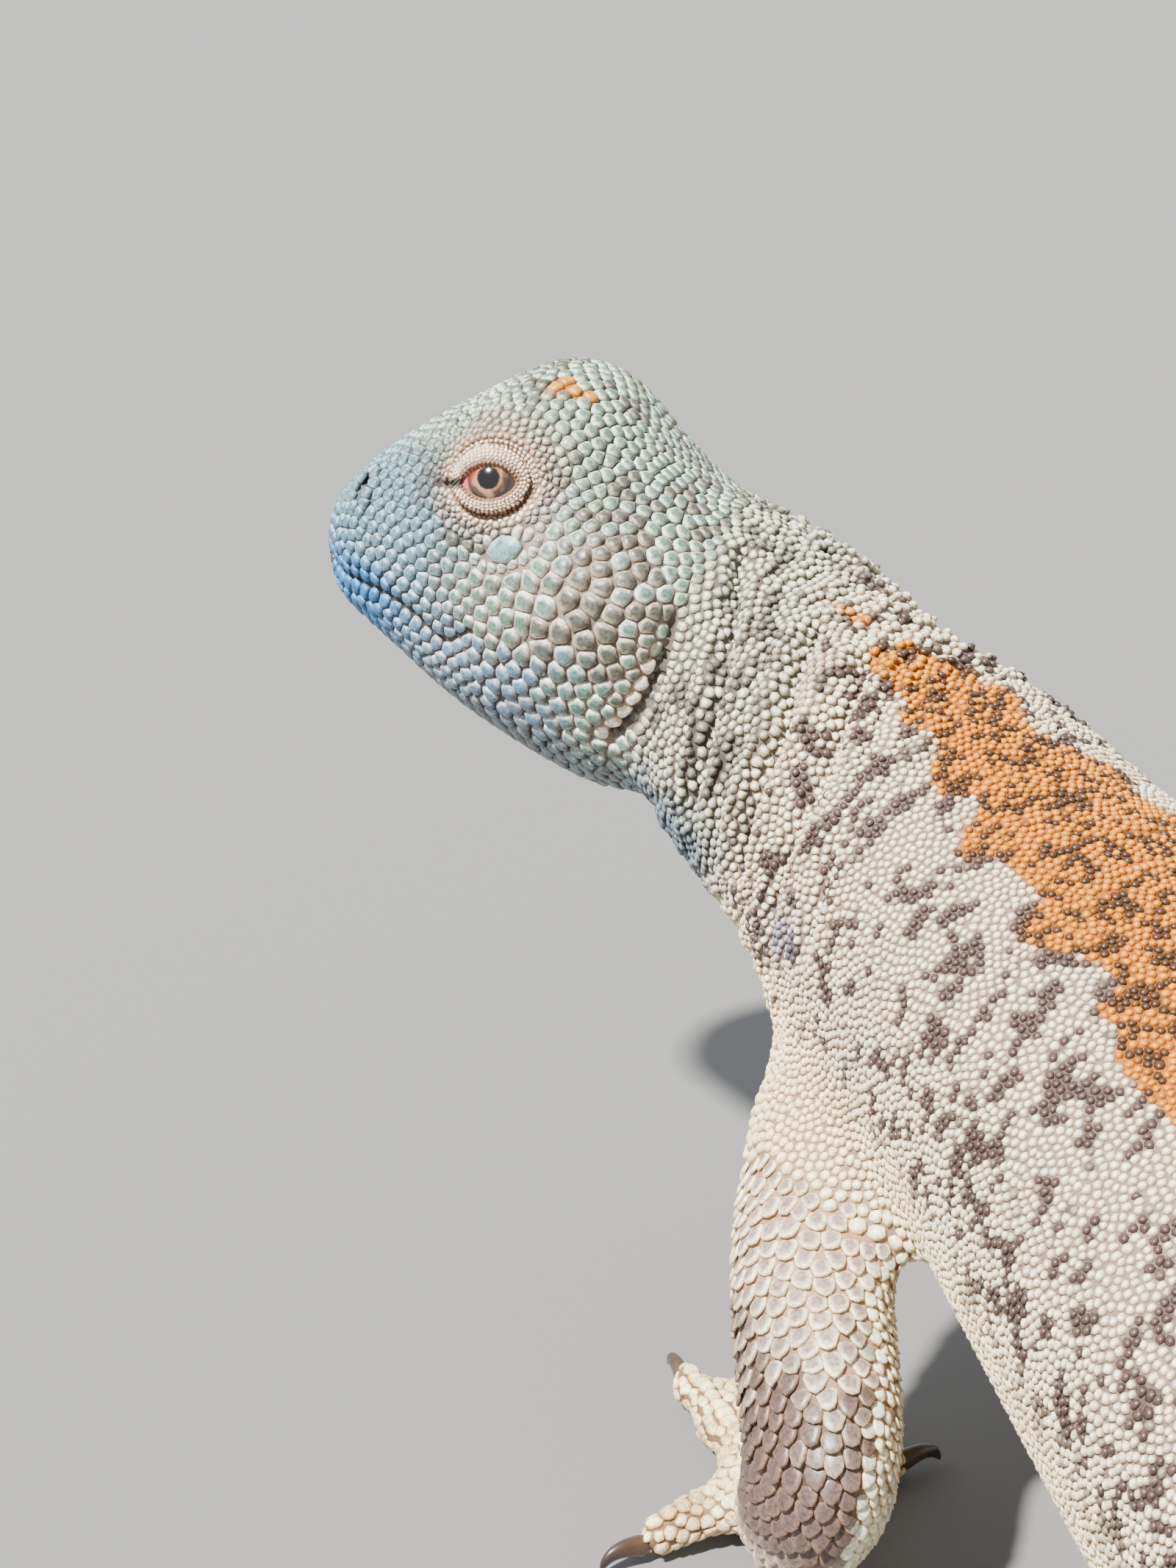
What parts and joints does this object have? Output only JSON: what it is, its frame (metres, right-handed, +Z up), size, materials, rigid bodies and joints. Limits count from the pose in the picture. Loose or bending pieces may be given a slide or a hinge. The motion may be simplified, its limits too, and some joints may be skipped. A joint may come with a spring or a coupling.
{
  "type": "uromastyx lizard model",
  "caption": "Life-size still model of an ornate spiny-tailed lizard, standing with its head turned to its left, with beaded scales, clawed toes and rings of tail spines.",
  "frame": {"origin": "on the floor, under the middle of the animal's box", "axes": "the trunk faces -Y, the tail runs towards +Y, the animal's left side is +X and +Z is up"},
  "size_m": [0.1266, 0.307, 0.0802],
  "materials": {
    "head_scales": "dry keratin scales, mint grey to sky blue, low sheen",
    "body_scales": "dry beaded scales, cream and mint with brown marks and orange spots over the back",
    "limb_scales": "dry overlapping plates, cream and tan with reddish brown between them",
    "tail_scales": "rings of pointed keratin spines, tan and ochre",
    "claw": "smooth dark horn",
    "eye": "wet and glossy, gold-brown iris with a round black pupil"
  },
  "bodies": {
    "root": {"head": "head_scales", "neck": "body_scales", "torso": "body_scales", "tail_1": "tail_scales", "tail_2": "tail_scales", "tail_3": "tail_scales", "tail_4": "tail_scales", "upper_arm_left": "limb_scales", "forearm_left": "limb_scales", "hand_left": "limb_scales", "thigh_left": "limb_scales", "shin_left": "limb_scales", "foot_left": "limb_scales", "upper_arm_right": "limb_scales", "forearm_right": "limb_scales", "hand_right": "limb_scales", "thigh_right": "limb_scales", "shin_right": "limb_scales", "foot_right": "limb_scales", "eye_left": "eye", "claw_hand_left_1": "claw", "claw_hand_left_2": "claw", "claw_hand_left_3": "claw", "claw_hand_left_4": "claw", "claw_hand_left_5": "claw", "claw_foot_left_1": "claw", "claw_foot_left_2": "claw", "claw_foot_left_3": "claw", "claw_foot_left_4": "claw", "claw_foot_left_5": "claw", "eye_right": "eye", "claw_hand_right_1": "claw", "claw_hand_right_2": "claw", "claw_hand_right_3": "claw", "claw_hand_right_4": "claw", "claw_hand_right_5": "claw", "claw_foot_right_1": "claw", "claw_foot_right_2": "claw", "claw_foot_right_3": "claw", "claw_foot_right_4": "claw", "claw_foot_right_5": "claw"}
  },
  "joints": []
}
